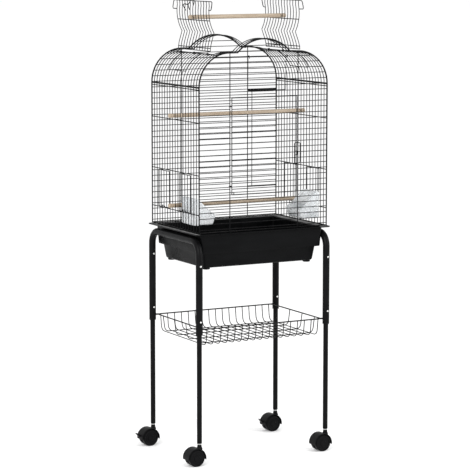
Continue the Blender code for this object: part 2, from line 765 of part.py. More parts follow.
def basket():
    """The wire basket: a rim rod on stubs at the legs, wires front to back, and long wires under them."""
    rim = rounded_ring(BASKET_HALF_X, BASKET_HALF_Y, BASKET_CORNER, BASKET_RIM_Z)
    count = BASKET_SHORT_WIRES - 1
    wires = []
    floor_y = BASKET_HALF_Y - BASKET_INSET
    for number in range(0, count + 1, WIRE_STEP):
        x = (number - count / 2) * BASKET_PITCH
        wires.append(
            [
                (x, -BASKET_HALF_Y, BASKET_RIM_Z),
                (x, -floor_y - 0.004, BASKET_FLOOR_Z + 0.014),
                (x, -floor_y + 0.008, BASKET_FLOOR_Z),
                (x, floor_y - 0.008, BASKET_FLOOR_Z),
                (x, floor_y + 0.004, BASKET_FLOOR_Z + 0.014),
                (x, BASKET_HALF_Y, BASKET_RIM_Z),
            ]
        )
    floor_x = BASKET_HALF_X - BASKET_INSET
    long_z = BASKET_FLOOR_Z + BASKET_WIRE_RADIUS * 1.4
    long_wires = []
    for y in BASKET_LONG_Y:
        long_wires.append(
            [
                (-BASKET_HALF_X, y, BASKET_RIM_Z),
                (-floor_x, y, long_z + 0.010),
                (-floor_x + 0.010, y, long_z),
                (floor_x - 0.010, y, long_z),
                (floor_x, y, long_z + 0.010),
                (BASKET_HALF_X, y, BASKET_RIM_Z),
            ]
        )
    stub_reach = FRAME_TUBE_RADIUS + 0.001
    stubs = []
    for sx in (-1, 1):
        for sy in (-1, 1):
            inner = (sx * (BASKET_HALF_X - 0.0045), sy * (BASKET_HALF_Y - 0.0045), BASKET_RIM_Z)
            toward = Vector((sx * LEG_X, sy * LEG_Y, BASKET_RIM_Z)) - Vector(inner)
            outer = Vector(inner) + toward * (1 - stub_reach / toward.length)
            stubs.append([inner, tuple(outer)])
    join_rods(
        "basket",
        ([rim], BASKET_RIM_RADIUS, True),
        [
            (wires, BASKET_WIRE_RADIUS, False),
            (long_wires, BASKET_WIRE_RADIUS, False),
            (stubs, BASKET_RIM_RADIUS * 1.3, False),
        ],
    )


# ---------------------------------------------------------------- casters


def caster_hood(name, x, y):
    """A caster's turning half: stem, hood and the web that holds the axle."""
    cx = x - CASTER_TRAIL
    centre = (cx, y, WHEEL_RADIUS)
    width = 2 * WHEEL_WIDTH + WHEEL_GAP
    hood = cylinder(name, centre, (0, 1, 0), HOOD_RADIUS, width, BLACK_PLASTIC, sides=20)
    hollow = cylinder(name + "_hollow", centre, (0, 1, 0), HOOD_RADIUS - HOOD_WALL, 0.1, BLACK_PLASTIC, True, 20)
    boolean(hood, hollow, "DIFFERENCE")
    below = box(name + "_below", (cx - 0.05, y - 0.05, -0.02), (cx + 0.05, y + 0.05, 0.021), BLACK_PLASTIC, True)
    boolean(hood, below, "DIFFERENCE")
    web_outline = arc(cx, WHEEL_RADIUS, HOOD_RADIUS - 0.001, math.radians(-8), math.radians(188), 10)
    web_outline += [(cx - 0.008, WHEEL_RADIUS - 0.009), (cx + 0.008, WHEEL_RADIUS - 0.009)]
    web = prism(name + "_web", web_outline, y - WEB_WIDTH / 2, y + WEB_WIDTH / 2, BLACK_PLASTIC, True)
    boolean(hood, web, "UNION")
    stem_top = LEG_BOTTOM_Z - COLLAR_HEIGHT - 2 * GAP
    stem_low = WHEEL_RADIUS + 0.024
    stem = cylinder(
        name + "_stem",
        (x, y, (stem_low + stem_top) / 2),
        (0, 0, 1),
        STEM_RADIUS + 0.002,
        stem_top - stem_low,
        BLACK_PLASTIC,
        True,
        12,
        STEM_RADIUS,
    )
    boolean(hood, stem, "UNION")
    bore = cylinder(name + "_bore", centre, (0, 1, 0), AXLE_RADIUS + 0.0006, 0.02, BLACK_PLASTIC, True, 12)
    boolean(hood, bore, "DIFFERENCE")
    clearance = cylinder(
        name + "_clearance", centre, (0, 1, 0), WHEEL_RADIUS + 0.0012, WHEEL_WIDTH, BLACK_PLASTIC, True, 20
    )
    for sign in (-1, 1):
        copy = place(f"{name}_clearance_{sign}", clearance.data.copy(), BLACK_PLASTIC, True)
        copy.location.y = sign * (WEB_WIDTH / 2 + WHEEL_WIDTH / 2 + 0.0001)
        boolean(hood, copy, "DIFFERENCE")
    bpy.data.objects.remove(clearance, do_unlink=True)


def caster_wheels(name, x, y):
    """A caster's two wheels on their axle."""
    centre = Vector((x - CASTER_TRAIL, y, WHEEL_RADIUS))
    pair = cylinder(name, centre, (0, 1, 0), AXLE_RADIUS, WHEEL_GAP + WHEEL_WIDTH, BLACK_PLASTIC, sides=12)
    for sign in (-1, 1):
        at = centre + Vector((0, sign * (WHEEL_GAP + WHEEL_WIDTH) / 2, 0))
        wheel = cylinder(f"{name}_{sign}", at, (0, 1, 0), WHEEL_RADIUS, WHEEL_WIDTH - 0.001, BLACK_PLASTIC, True, 20)
        boolean(pair, wheel, "UNION")


def caster_collar(name, x, y):
    """The bright washer between a caster and its leg."""
    z = LEG_BOTTOM_Z - GAP - COLLAR_HEIGHT / 2
    cylinder(name, (x, y, z), (0, 0, 1), LEG_RADIUS - 0.0008, COLLAR_HEIGHT, SILVER, sides=12)


def brake_lever(name, x, y):
    """A rear caster's brake lever, beside its hood."""
    cx = x - CASTER_TRAIL - HOOD_RADIUS - GAP * 3
    outline = [(cx, 0.031), (cx - 0.002, 0.039), (cx - 0.011, 0.044), (cx - 0.012, 0.041), (cx - 0.004, 0.031)]
    prism(name, outline, y - 0.007, y + 0.007, BLACK_PLASTIC)


# ---------------------------------------------------------------- assembly


def build_cage():
    end_panel("front_panel_top", -HALF_DEPTH, wire_z(SPLIT_WIRE), SPLIT_WIRE + WIRE_STEP)
    front_bottom()
    back_panel()
    front_door()
    door_latch()
    roof_strip("front_roof_strip", -1)
    roof_strip("back_roof_strip", 1)
    flap_latch()
    perches()
    swing()
    for word, side in (("left", -1), ("right", 1)):
        front_side(f"front_panel_{word}", side)
        side_panel(f"{word}_side_panel", side)
        shoulder_grille(f"{word}_shoulder_grille", side)
        roof_flap(f"{word}_flap", side)
        flap_stay(f"{word}_flap_stay", side)
        seed_cup(f"{word}_seed_cup", side)
        for where, wires in zip(("front", "back"), FEEDER_WIRES):
            feeder_door(f"{where}_{word}_feeder_door", side, wires)


def build_stand():
    basket()
    for word, sx in (("left", -1), ("right", 1)):
        stand_frame(f"{word}_stand_frame", sx)
        for where, sy in (("front", -1), ("back", 1)):
            corner = f"{where}_{word}"
            lower_leg(f"{corner}_leg", sx, sy)
            leg_screw(f"{corner}_upper_screw", sx, sy, SCREW_Z[0])
            leg_screw(f"{corner}_lower_screw", sx, sy, SCREW_Z[1])
            caster_collar(f"{corner}_caster_collar", sx * LEG_X, sy * LEG_Y)
            caster_hood(f"{corner}_caster_hood", sx * LEG_X, sy * LEG_Y)
            caster_wheels(f"{corner}_caster_wheels", sx * LEG_X, sy * LEG_Y)
            if where == "back":
                brake_lever(f"{corner}_brake_lever", sx * LEG_X, sy * LEG_Y)


def centre_everything():
    for item in bpy.data.objects:
        item.location.x += CENTRING_X


build_cage()
base_tray()
build_stand()
centre_everything()
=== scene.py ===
"""The looks of the bird cage on its stand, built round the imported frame.

Metres, +Z up, the front facing -Y. Each piece stands for one CAD node, or for the four parts of the
front panel, and rides on that node's body.
Wires are round here and at their full number. Everything on the cage is laid out about its middle, and
CENTRE_X moves it to where the frame has it.
"""

import json
import math

import bmesh
import bpy
from mathutils import Matrix, Vector


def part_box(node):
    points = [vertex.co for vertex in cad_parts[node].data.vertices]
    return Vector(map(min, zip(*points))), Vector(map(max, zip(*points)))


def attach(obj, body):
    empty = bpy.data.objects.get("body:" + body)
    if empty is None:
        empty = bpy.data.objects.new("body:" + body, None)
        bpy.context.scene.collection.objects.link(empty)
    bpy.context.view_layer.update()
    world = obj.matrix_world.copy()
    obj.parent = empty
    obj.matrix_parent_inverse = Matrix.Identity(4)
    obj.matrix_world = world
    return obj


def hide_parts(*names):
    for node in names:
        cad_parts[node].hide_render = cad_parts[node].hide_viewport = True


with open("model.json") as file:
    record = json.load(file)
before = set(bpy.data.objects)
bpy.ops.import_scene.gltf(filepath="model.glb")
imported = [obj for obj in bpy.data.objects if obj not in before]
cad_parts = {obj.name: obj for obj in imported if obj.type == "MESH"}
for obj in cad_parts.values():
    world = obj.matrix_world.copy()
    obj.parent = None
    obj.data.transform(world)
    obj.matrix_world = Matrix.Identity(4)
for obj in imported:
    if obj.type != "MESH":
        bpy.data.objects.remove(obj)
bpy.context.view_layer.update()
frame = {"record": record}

# Cage
CAGE_WIDTH = 0.455
CAGE_DEPTH = 0.328
CAGE_FLOOR_Z = 0.732
SHOULDER_Z = 1.182
SHOULDER_RADIUS = 0.105
CUSP_X = 0.093
BUMP_RISE = 0.041
WIRE_PITCH = 0.01774
FIRST_WIRE_Z = 0.7401
SIDE_PITCH = CAGE_DEPTH / 18
WIRE_RADIUS = 0.00122
BORDER_RADIUS = 0.0025
STIFFENER_RADIUS = 0.0015
STIFFENER_X = 0.121
HALF_WIDTH = CAGE_WIDTH / 2
HALF_DEPTH = CAGE_DEPTH / 2
PLATEAU_Z = SHOULDER_Z + SHOULDER_RADIUS
SHOULDER_X = HALF_WIDTH - SHOULDER_RADIUS
BUMP_RADIUS = (CUSP_X**2 + BUMP_RISE**2) / (2 * BUMP_RISE)
BUMP_CENTRE_Z = PLATEAU_Z + BUMP_RISE - BUMP_RADIUS
TOP_WIRE = 32
SIDE_WIRES = 18
FEEDER_BOTTOM_Z = 0.787
FEEDER_TOP_Z = 0.910
SIDE_BAR_Z = (CAGE_FLOOR_Z, FEEDER_BOTTOM_Z, FEEDER_TOP_Z, 1.073, 1.1745)
FEEDER_WIRES = ((3, 7), (11, 15))
FEEDER_STANDOFF = 0.0034
FEEDER_FRAME_RADIUS = 0.0013
FEEDER_TAB = 0.018
STRIP_WIRES = (1, 2)
STRIP_RADIUS = 0.0014
HINGE_X = 0.1595
HINGE_Z = SHOULDER_Z + math.sqrt(SHOULDER_RADIUS**2 - (HINGE_X - SHOULDER_X) ** 2)
HINGE_RADIUS = 0.002
RAIL_RADIUS = 0.003
STRIP_CROSS_X = (-HINGE_X, -STIFFENER_X, -CUSP_X, 0.0, CUSP_X, STIFFENER_X, HINGE_X)
FLAP_WIRES = (3, 15)
FLAP_OPEN = {-1: math.radians(73.3), 1: math.radians(69.5)}
FLAP_HINGE_CLEARANCE = 0.005
FLAP_EDGE_RADIUS = 0.0014
FLAP_RING_WIRES = (4, 9, 14)
FLAP_RING_RADIUS = 0.0034
RING_WIRE_RADIUS = 0.0009
EAR_REACH = 0.022
EDGE_LIFT = 0.0042
EAR_DROP = 0.027
STAY_HALF_WIDTH = 0.059
STAY_END_ANGLE = math.radians(25)
HOOK_Y = 0.0048
HOOK_RADIUS = 0.0015
HOOK_MAIN = (
    (-0.013, -0.028),
    (-0.019, -0.012),
    (-0.012, -0.005),
    (-0.011, 0.0020),
    (-0.009, 0.0034),
    (0.001, 0.0034),
    (0.003, 0.0020),
    (0.003, -0.008),
    (-0.0010, -0.0165),
)
HOOK_TAIL = ((-0.019, -0.012), (-0.030, -0.009), (-0.036, -0.012), (-0.032, -0.020), (-0.026, -0.030))

# Doors
DOOR_HALF_WIDTH = 0.1155
DOOR_BOTTOM_Z = 0.8465
DOOR_TOP_Z = 1.1481
DOOR_Y = -HALF_DEPTH - 0.004
LATCH_Y = DOOR_Y - 0.0032
DOOR_WIRES = (7, 22)
DOOR_FRAME_RADIUS = 0.0014
DOOR_TOP_RADIUS = 0.0018
DOOR_EYE_RADIUS = 0.0029
DOOR_LUG_TOP_Z = 0.853
LATCH_X = (0.106, 0.1262)
LATCH_Z = (0.936, 1.000)
PULL_Z = (0.962, 0.974)
DOOR_EYE_Z = (0.8732, 1.1215)
BACK_FRAME_X = 0.137
BACK_FRAME_Z = (0.8288, 1.1445)

# Furniture
PERCH_RADIUS = 0.0068
TOP_PERCH_Z = 1.392
SWING_WIRE = 30
SWING_X = (-0.054, 0.081)
SWING_BAR_X = (-0.045, 0.038)
SWING_Y = -HALF_DEPTH + 0.0062
SWING_BAR_Z = 1.1675
SWING_WIRE_RADIUS = 0.001
SWING_BAR_RADIUS = 0.0038
CUP_DEPTH = 0.075
CUP_BOTTOM_Z = 0.7505
CUP_TOP_Z = 0.835
CUP_LIP_Z = 0.781
CUP_WALL = 0.002

# Base tray: half width, half depth and height of each ring of its outer surface, from the cage down
TRAY_RINGS = (
    (0.2402, 0.1731, 0.7285),
    (0.2404, 0.1733, 0.7278),
    (0.2395, 0.1725, 0.7255),
    (0.2380, 0.1715, 0.7248),
    (0.2180, 0.1594, 0.7236),
    (0.2168, 0.1582, 0.7222),
    (0.2164, 0.1577, 0.7150),
    (0.2152, 0.1562, 0.6930),
    (0.2136, 0.1541, 0.6655),
    (0.2128, 0.1532, 0.6642),
    (0.2030, 0.1420, 0.6628),
    (0.2020, 0.1409, 0.6612),
    (0.1968, 0.1358, 0.6250),
    (0.1955, 0.1345, 0.6200),
    (0.1925, 0.1315, 0.6175),
)
TRAY_CORNER = 0.009
TRAY_WALL = 0.0022
TRAY_FOOT_HEIGHT = 0.006
TRAY_FOOT_RADIUS = 0.012
TRAY_BOW = 0.004
TRAY_FLAT_SHARE = 0.55

# Stand and basket
FRAME_TUBE_RADIUS = 0.011
FRAME_BEND = 0.042
BASKET_HALF_X = 0.212
BASKET_HALF_Y = 0.163
BASKET_RIM_Z = 0.430
BASKET_FLOOR_Z = 0.377
BASKET_RIM_RADIUS = 0.0021
BASKET_WIRE_RADIUS = 0.0015
BASKET_PITCH = 0.025
BASKET_SHORT_WIRES = 17
BASKET_CORNER = 0.012
BASKET_INSET = 0.007
BASKET_LONG_Y = (-0.12, -0.04, 0.04, 0.12)
LEG_X = 0.228
LEG_Y = 0.1645

# Casters
WHEEL_RADIUS = 0.0265
WHEEL_WIDTH = 0.0165
WHEEL_GAP = 0.0075
CASTER_TRAIL = 0.017
HOOD_RADIUS = 0.0315
HOOD_WALL = 0.0025
WEB_WIDTH = 0.006
AXLE_RADIUS = 0.004
STEM_RADIUS = 0.0065

# Camera
CAMERA_AZIMUTH = math.radians(-27.92)
CAMERA_PITCH = math.radians(7.64)
CAMERA_DISTANCE = 7.10
CAMERA_LENS = 169.7
CAMERA_SHIFT_X = 0.0243
CAMERA_TARGET = (-0.0433, 0.0229, 0.694)

# Light
WORLD_STRENGTH = 1.06
LEFT_POWER = 120
RIGHT_POWER = 80
AIM_HEIGHT = 0.8


def middle_of(node):
    """The middle of a CAD node's box."""
    low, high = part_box(node)
    return (Vector(low) + Vector(high)) / 2


def body_of_node():
    """The name of the body that each CAD node belongs to."""
    bodies = frame["record"]["behaviour"]["bodies"]
    return {node: body for body, nodes in bodies.items() for node in nodes}


BODY = body_of_node()
PARTS = {"front_panel": [f"front_panel_{part}" for part in ("left", "right", "bottom", "top")]}
CENTRE_X = middle_of("back_panel").x


# ---------------------------------------------------------------- materials


class Nodes:
    """Short calls for building one material's node tree."""

    def __init__(self, name, roughness, metallic=0.0):
        self.material = bpy.data.materials.new(name)
        self.material.use_nodes = True
        self.tree = self.material.node_tree
        self.shader = self.tree.nodes["Principled BSDF"]
        self.shader.inputs["Roughness"].default_value = roughness
        self.shader.inputs["Metallic"].default_value = metallic
        self.place = self.tree.nodes.new("ShaderNodeTexCoord").outputs["Object"]

    def link(self, output, node, socket):
        self.tree.links.new(output, node.inputs[socket])

    def stretched(self, scale):
        mapping = self.tree.nodes.new("ShaderNodeMapping")
        mapping.inputs["Scale"].default_value = scale
        self.link(self.place, mapping, "Vector")
        return mapping.outputs["Vector"]

    def noise(self, scale, detail=3.0, vector=None, roughness=0.5):
        node = self.tree.nodes.new("ShaderNodeTexNoise")
        node.inputs["Scale"].default_value = scale
        node.inputs["Detail"].default_value = detail
        node.inputs["Roughness"].default_value = roughness
        self.link(vector or self.place, node, "Vector")
        return node.outputs["Fac"]

    def ramp(self, factor, stops):
        node = self.tree.nodes.new("ShaderNodeValToRGB")
        elements = node.color_ramp.elements
        while len(elements) < len(stops):
            elements.new(0.5)
        for element, (position, colour) in zip(elements, stops):
            element.position = position
            element.color = (*colour, 1.0)
        self.link(factor, node, "Fac")
        return node.outputs["Color"]

    def spread(self, factor, low, high):
        node = self.tree.nodes.new("ShaderNodeMapRange")
        node.inputs["From Min"].default_value = 0.3
        node.inputs["From Max"].default_value = 0.7
        node.inputs["To Min"].default_value = low
        node.inputs["To Max"].default_value = high
        self.link(factor, node, "Value")
        return node.outputs["Result"]

    def bump(self, height, strength, distance):
        node = self.tree.nodes.new("ShaderNodeBump")
        node.inputs["Strength"].default_value = strength
        node.inputs["Distance"].default_value = distance
        self.link(height, node, "Height")
        self.link(node.outputs["Normal"], self.shader, "Normal")


def powder_coat():
    """Satin black powder coat: fine orange peel, and slightly duller patches."""
    nodes = Nodes("powder_coat", 0.36)
    stops = [(0.3, (0.002, 0.002, 0.0023)), (0.72, (0.0045, 0.0045, 0.005))]
    nodes.link(nodes.ramp(nodes.noise(38.0, 4.0), stops), nodes.shader, "Base Color")
    nodes.link(nodes.spread(nodes.noise(90.0), 0.3, 0.44), nodes.shader, "Roughness")
    nodes.bump(nodes.noise(1500.0, 2.0), 0.16, 0.0004)
    nodes.shader.inputs["Specular IOR Level"].default_value = 0.07
    return nodes.material


def moulded_plastic(name, dark, light, low, high):
    """Black moulded plastic: a fine grained skin with faint flow marks and dust."""
    nodes = Nodes(name, 0.45)
    flow = nodes.noise(9.0, 5.0, nodes.stretched((1.0, 1.0, 3.0)), 0.6)
    nodes.link(nodes.ramp(flow, [(0.3, dark), (0.75, light)]), nodes.shader, "Base Color")
    nodes.link(nodes.spread(nodes.noise(30.0, 5.0), low, high), nodes.shader, "Roughness")
    nodes.bump(nodes.noise(900.0, 2.0), 0.14, 0.0005)
    nodes.shader.inputs["Specular IOR Level"].default_value = 0.05
    return nodes.material


def zinc():
    """Bright zinc plate with fine turning marks."""
    nodes = Nodes("zinc", 0.28, 1.0)
    marks = nodes.noise(700.0, 3.0, nodes.stretched((1.0, 1.0, 0.15)))
    tone = nodes.ramp(nodes.noise(160.0), [(0.3, (0.56, 0.56, 0.55)), (0.7, (0.78, 0.78, 0.76))])
    nodes.link(tone, nodes.shader, "Base Color")
    nodes.link(nodes.spread(marks, 0.2, 0.4), nodes.shader, "Roughness")
    nodes.bump(marks, 0.1, 0.0003)
    return nodes.material


def pale_wood():
    """Unfinished pale hardwood dowel, its grain along X."""
    nodes = Nodes("pale_wood", 0.66)
    grain = nodes.noise(26.0, 6.0, nodes.stretched((0.55, 9.0, 9.0)), 0.62)
    pores = nodes.noise(160.0, 2.0, nodes.stretched((0.35, 6.0, 6.0)))
    stops = [(0.28, (0.235, 0.175, 0.122)), (0.5, (0.325, 0.258, 0.188)), (0.74, (0.415, 0.345, 0.268))]
    nodes.link(nodes.ramp(grain, stops), nodes.shader, "Base Color")
    nodes.link(nodes.spread(pores, 0.58, 0.78), nodes.shader, "Roughness")
    nodes.bump(pores, 0.35, 0.0006)
    return nodes.material


def frosted_plastic():
    """Milky clear plastic for the seed cups."""
    nodes = Nodes("frosted_plastic", 0.3)
    stops = [(0.3, (0.80, 0.83, 0.85)), (0.7, (0.92, 0.935, 0.945))]
    nodes.link(nodes.ramp(nodes.noise(22.0, 4.0), stops), nodes.shader, "Base Color")
    nodes.link(nodes.spread(nodes.noise(70.0), 0.22, 0.36), nodes.shader, "Roughness")
    nodes.bump(nodes.noise(500.0, 2.0), 0.06, 0.0004)
    nodes.shader.inputs["Transmission Weight"].default_value = 0.45
    nodes.shader.inputs["IOR"].default_value = 1.46
    return nodes.material


def pale_floor():
    """A nearly white studio floor."""
    nodes = Nodes("pale_floor", 0.9)
    tone = nodes.ramp(nodes.noise(0.8), [(0.3, (0.945, 0.945, 0.945)), (0.7, (0.96, 0.96, 0.96))])
    nodes.link(tone, nodes.shader, "Base Color")
    return nodes.material


COAT = powder_coat()
TRAY_PLASTIC = moulded_plastic("tray_plastic", (0.0016, 0.0017, 0.0019), (0.0036, 0.0038, 0.0042), 0.24, 0.38)
CASTER_PLASTIC = moulded_plastic("caster_plastic", (0.003, 0.003, 0.0033), (0.007, 0.007, 0.0075), 0.34, 0.5)
ZINC = zinc()
WOOD = pale_wood()
CUP_PLASTIC = frosted_plastic()


# ---------------------------------------------------------------- making pieces


def adopt(piece, node, material):
    """Puts a piece in the scene in place of a CAD node, or of the parts of one, on their body."""
    piece.data.materials.append(material)
    bpy.context.scene.collection.objects.link(piece)
    nodes = PARTS.get(node, [node])
    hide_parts(*nodes)
    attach(piece, BODY[nodes[0]])
    return piece


def wires(node, groups, material=COAT, resolution=2, offset=None):
    """A piece of round wires. Each group is (paths, radius, closed)."""
    shift = CENTRE_X if offset is None else offset
    data = bpy.data.curves.new(node + "_round", "CURVE")
    data.dimensions = "3D"
    data.bevel_depth = 0.001
    data.bevel_resolution = resolution
    data.use_fill_caps = True
    for paths, radius, closed in groups:
        for path in paths:
            spline = data.splines.new("POLY")
            spline.points.add(len(path) - 1)
            for point, (x, y, z) in zip(spline.points, path):
                point.co = (x + shift, y, z, 1.0)
                point.radius = radius / data.bevel_depth
            spline.use_cyclic_u = closed
            spline.use_smooth = True
    piece = bpy.data.objects.new(node + "_round", data)
    return adopt(piece, node, material)


def solid(node, build, material, smooth_angle=35, bevel=0.0):
    """A mesh piece that the function build makes in a bmesh."""
    mesh = bpy.data.meshes.new(node + "_skin")
    work = bmesh.new()
    build(work)
    bmesh.ops.remove_doubles(work, verts=work.verts, dist=1e-6)
    bmesh.ops.recalc_face_normals(work, faces=work.faces)
    work.to_mesh(mesh)
    work.free()
    mesh.shade_smooth()
    mesh.set_sharp_from_angle(angle=math.radians(smooth_angle))
    piece = adopt(bpy.data.objects.new(node + "_skin", mesh), node, material)
    if bevel:
        add_bevel(piece, bevel)
    return piece


def add_bevel(piece, width):
    rounding = piece.modifiers.new("rounding", "BEVEL")
    rounding.width = width
    rounding.segments = 3
    rounding.limit_method = "ANGLE"
    rounding.angle_limit = math.radians(35)
    rounding.harden_normals = True


def lathe(work, centre, axis, profile, sides=48):
    """A turned solid. profile is (distance along the axis, radius), from end to end."""
    turn = Vector((0, 0, 1)).rotation_difference(Vector(axis)).to_matrix()
    centre = Vector(centre)
    rings = []
    for along, radius in profile:
        ring = []
        for step in range(sides):
            angle = 2 * math.pi * step / sides
            local = Vector((radius * math.cos(angle), radius * math.sin(angle), along))
            ring.append(work.verts.new(centre + turn @ local))
        rings.append(ring)
    for lower, upper in zip(rings, rings[1:]):
        for step in range(sides):
            after = (step + 1) % sides
            work.faces.new((lower[step], lower[after], upper[after], upper[step]))
    work.faces.new(rings[0][::-1])
    work.faces.new(rings[-1])


def extrude_outline(work, outline, y_low, y_high):
    """A solid from an outline of (x, z) points, extruded along Y."""
    front = [work.verts.new((x, y_low, z)) for x, z in outline]
    back = [work.verts.new((x, y_high, z)) for x, z in outline]
    work.faces.new(front)
    work.faces.new(back[::-1])
    count = len(outline)
    for index in range(count):
        after = (index + 1) % count
        work.faces.new((front[index], back[index], back[after], front[after]))


def fillet(path, radius, closed=False, steps=4):
    """The path with its corners rounded."""
    points = [Vector(p) for p in path]
    count = len(points)
    result = []
    for index, corner in enumerate(points):
        if not closed and index in (0, count - 1):
            result.append(tuple(corner))
            continue
        before = points[index - 1] - corner
        after = points[(index + 1) % count] - corner
        reach = min(radius, before.length * 0.45, after.length * 0.45)
        start = corner + before.normalized() * reach
        end = corner + after.normalized() * reach
        for step in range(steps + 1):
            share = step / steps
            point = start * (1 - share) ** 2 + corner * 2 * share * (1 - share) + end * share**2
            result.append(tuple(point))
    return result


def arc(centre_x, centre_z, radius, start, end, steps):
    """(x, z) points along an arc, its angles in radians from +X."""
    points = []
    for step in range(steps + 1):
        angle = start + (end - start) * step / steps
        points.append((centre_x + radius * math.cos(angle), centre_z + radius * math.sin(angle)))
    return points


# ---------------------------------------------------------------- cage profile


def roof_profile(steps=14, bump_steps=24):
    """(x, z) points over the roof, from the left shoulder's foot to the right one's."""
    half_angle = math.asin(CUSP_X / BUMP_RADIUS)
    left = arc(-SHOULDER_X, SHOULDER_Z, SHOULDER_RADIUS, math.pi, math.pi / 2, steps)
    bump = arc(0, BUMP_CENTRE_Z, BUMP_RADIUS, math.pi / 2 + half_angle, math.pi / 2 - half_angle, bump_steps)
    right = [(-x, z) for x, z in reversed(left)]
    return left + bump + right


def profile_z(x):
    """The height of the roof's profile at an x."""
    reach = abs(x)
    if reach >= SHOULDER_X:
        return SHOULDER_Z + math.sqrt(max(SHOULDER_RADIUS**2 - (reach - SHOULDER_X) ** 2, 0))
    if reach >= CUSP_X:
        return PLATEAU_Z
    return BUMP_CENTRE_Z + math.sqrt(BUMP_RADIUS**2 - x**2)


def half_width_at(z):
    """Half the panel's width at a height."""
    if z <= SHOULDER_Z:
        return HALF_WIDTH
    if z <= PLATEAU_Z:
        return SHOULDER_X + math.sqrt(SHOULDER_RADIUS**2 - (z - SHOULDER_Z) ** 2)
    return math.sqrt(BUMP_RADIUS**2 - (z - BUMP_CENTRE_Z) ** 2)


def wire_z(number):
    return FIRST_WIRE_Z + WIRE_PITCH * number


def side_wire_y(number):
    return -HALF_DEPTH + SIDE_PITCH * number


# ---------------------------------------------------------------- cage panels


def end_panel(node, y, doorway, extra=()):
    """The front or back panel: a lobed border, two uprights and level wires at their full pitch."""
    outline = [(-HALF_WIDTH, CAGE_FLOOR_Z)] + roof_profile() + [(HALF_WIDTH, CAGE_FLOOR_Z)]
    border = [(x, y, z) for x, z in outline]
    level = []
    for number in range(TOP_WIRE + 1):
        z = wire_z(number)
        reach = half_width_at(z)
        if doorway and DOOR_WIRES[0] <= number <= DOOR_WIRES[1]:
            level.append([(-reach, y, z), (-STIFFENER_X, y, z)])
            level.append([(STIFFENER_X, y, z), (reach, y, z)])
        else:
            level.append([(-reach, y, z), (reach, y, z)])
    post_y = y + math.copysign(STIFFENER_RADIUS, y)
    uprights = [[(x, post_y, CAGE_FLOOR_Z), (x, post_y, PLATEAU_Z)] for x in (-STIFFENER_X, STIFFENER_X)]
    groups = [
        ([border], BORDER_RADIUS, True),
        (level, WIRE_RADIUS, False),
        (uprights, STIFFENER_RADIUS, False),
        *extra,
    ]
    wires(node, groups)


def back_panel():
    """The back panel, with the fixed frame beside its right upright."""
    low, high = BACK_FRAME_Z
    level = [[(STIFFENER_X, HALF_DEPTH, z), (HALF_WIDTH, HALF_DEPTH, z)] for z in (low, high)]
    upright = [[(BACK_FRAME_X, HALF_DEPTH + 0.001, low), (BACK_FRAME_X, HALF_DEPTH + 0.001, high)]]
    end_panel("back_panel", HALF_DEPTH, False, [(level, 0.0024, False), (upright, 0.0012, False)])


def side_panel(node, side):
    """A side panel: upright wires, cut away at the two feeder doorways, and bars along Y inside them."""
    x = side * HALF_WIDTH
    upright = []
    for number in range(1, SIDE_WIRES):
        y = side_wire_y(number)
        if any(low < number < high for low, high in FEEDER_WIRES):
            upright.append([(x, y, CAGE_FLOOR_Z), (x, y, FEEDER_BOTTOM_Z)])
            upright.append([(x, y, FEEDER_TOP_Z), (x, y, SHOULDER_Z - 0.0015)])
        else:
            upright.append([(x, y, CAGE_FLOOR_Z), (x, y, SHOULDER_Z - 0.0015)])
    reach = HALF_DEPTH - BORDER_RADIUS
    inside = x - side * 0.0018
    bars = [[(inside, -reach, z), (inside, reach, z)] for z in SIDE_BAR_Z]
    wires(node, [(bars, STIFFENER_RADIUS, False), (upright, WIRE_RADIUS, False)])


def feeder_door(node, side, numbers):
    """A feeder door: a bent wire frame with uprights and a pull tab at its foot."""
    x = side * (HALF_WIDTH + FEEDER_STANDOFF)
    low_y = side_wire_y(numbers[0]) - 0.002
    high_y = side_wire_y(numbers[1]) + 0.002
    low_z = FEEDER_BOTTOM_Z + 0.003
    high_z = FEEDER_TOP_Z - 0.003
    frame_path = [(x, low_y, low_z), (x, high_y, low_z), (x, high_y, high_z), (x, low_y, high_z)]
    bars = []
    for number in range(numbers[0] + 1, numbers[1]):
        y = side_wire_y(number)
        bars.append([(x, y, low_z), (x, y, high_z)])
    out = x + side * 0.004
    middle = (low_y + high_y) / 2
    tab_low, tab_high = middle - FEEDER_TAB / 2, middle + FEEDER_TAB / 2
    tab = [
        (x, tab_low, low_z),
        (out, tab_low, low_z + 0.006),
        (out, tab_high, low_z + 0.006),
        (x, tab_high, low_z),
    ]
    groups = [
        ([fillet(frame_path, 0.003, True)], FEEDER_FRAME_RADIUS, True),
        (bars, WIRE_RADIUS, False),
        ([fillet(tab, 0.003)], WIRE_RADIUS, False),
    ]
    wires(node, groups)


def ring_about(centre, axis, radius, steps=14):
    """A ring of points about an axis along y or z."""
    points = []
    for step in range(steps):
        angle = 2 * math.pi * step / steps
        u, v = radius * math.cos(angle), radius * math.sin(angle)
        if axis == "z":
            points.append((centre[0] + u, centre[1] + v, centre[2]))
        else:
            points.append((centre[0] + u, centre[1], centre[2] + v))
    return points


